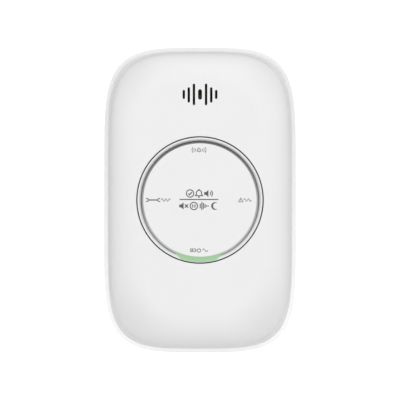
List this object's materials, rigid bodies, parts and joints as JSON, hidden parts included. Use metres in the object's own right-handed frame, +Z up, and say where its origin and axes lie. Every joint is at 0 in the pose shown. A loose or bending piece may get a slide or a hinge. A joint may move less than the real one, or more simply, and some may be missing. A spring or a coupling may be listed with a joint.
{
  "type": "carbon monoxide detector",
  "caption": "Upright rounded wall detector with a large round test button in a light ring, sounder slots above, a hooked wall plate and a hinged battery door in the back.",
  "frame": {"origin": "on the back face of the wall plate, in the wall's plane, behind the middle of the case", "axes": "+Z up the wall, +Y into the wall, front face towards -Y, +X to the right as seen from the front"},
  "size_m": [0.0754, 0.038, 0.12],
  "materials": {
    "white_plastic": "fine satin moulded texture",
    "plate_plastic": "fine satin moulded texture",
    "button_plastic": "smooth satin with grey printed pictograms",
    "clear_plastic": "frosted translucent",
    "spring_steel": "bright nickel plate",
    "ivory_plastic": "plain",
    "black_plastic": "plain",
    "circuit_board": "solder mask",
    "led_plastic": "clear resin",
    "brass": "satin",
    "foam": "closed-cell foam",
    "dark_mesh": "woven screen",
    "tinned_metal": "tinned",
    "steel_can": "satin",
    "sensor_plastic": "plain",
    "filter_felt": "felt",
    "capacitor_can": "sleeved can",
    "coil_winding": "enamelled wire",
    "chip_ceramic": "plain",
    "cell_jacket": "plain sleeve",
    "screw_steel": "zinc plate"
  },
  "bodies": {
    "wall_mount": {"wall_plate": "plate_plastic"},
    "housing": {"rear_cover": "white_plastic", "front_cover": "white_plastic", "light_ring": "clear_plastic", "return_springs": "spring_steel", "spring_seats": "ivory_plastic", "switch_base": "black_plastic", "main_pcb": "circuit_board", "led_alarm": "led_plastic", "led_power": "led_plastic", "led_malfunction": "led_plastic", "led_fault": "led_plastic", "sounder_housing": "black_plastic", "sounder_base": "ivory_plastic", "piezo_disc": "brass", "sounder_gasket": "foam", "sounder_mesh": "dark_mesh", "sounder_pins": "tinned_metal", "co_sensor_can": "steel_can", "co_sensor_cell": "sensor_plastic", "co_sensor_filter": "filter_felt", "co_sensor_pins": "tinned_metal", "microcontroller": "black_plastic", "microcontroller_leads": "tinned_metal", "amplifier_chips": "black_plastic", "capacitor": "capacitor_can", "boost_coil": "coil_winding", "chip_resistors": "chip_ceramic", "battery_upper": "cell_jacket", "battery_lower": "cell_jacket", "battery_positive_contact": "spring_steel", "battery_negative_contact": "spring_steel", "battery_bridge_contact": "spring_steel", "case_screws": "screw_steel", "pcb_screws": "screw_steel"},
    "door": {"battery_door": "white_plastic"},
    "button": {"test_button": "button_plastic"},
    "plunger": {"switch_plunger": "ivory_plastic"}
  },
  "joints": [
    {"name": "unit_lift", "type": "slide", "parent": "wall_mount", "child": "housing", "axis": [0, 0, 1], "range_m": [0, 0.008]},
    {"name": "door_hinge", "type": "hinge", "parent": "housing", "child": "door", "pos_m": [0, -0.002, -0.0167], "axis": [1, 0, 0], "range_deg": [0, 90]},
    {"name": "button_press", "type": "slide", "parent": "housing", "child": "button", "axis": [0, 1, 0], "range_m": [0, 0.0008], "stiffness_N_per_m": 1500, "springref_m": -0.001, "deforming": ["return_springs"]},
    {"name": "plunger_press", "type": "slide", "parent": "housing", "child": "plunger", "axis": [0, 1, 0], "range_m": [0, 0.0008]}
  ],
  "couplings": [
    {"joint": "plunger_press", "follows": "button_press", "ratio": 1}
  ]
}
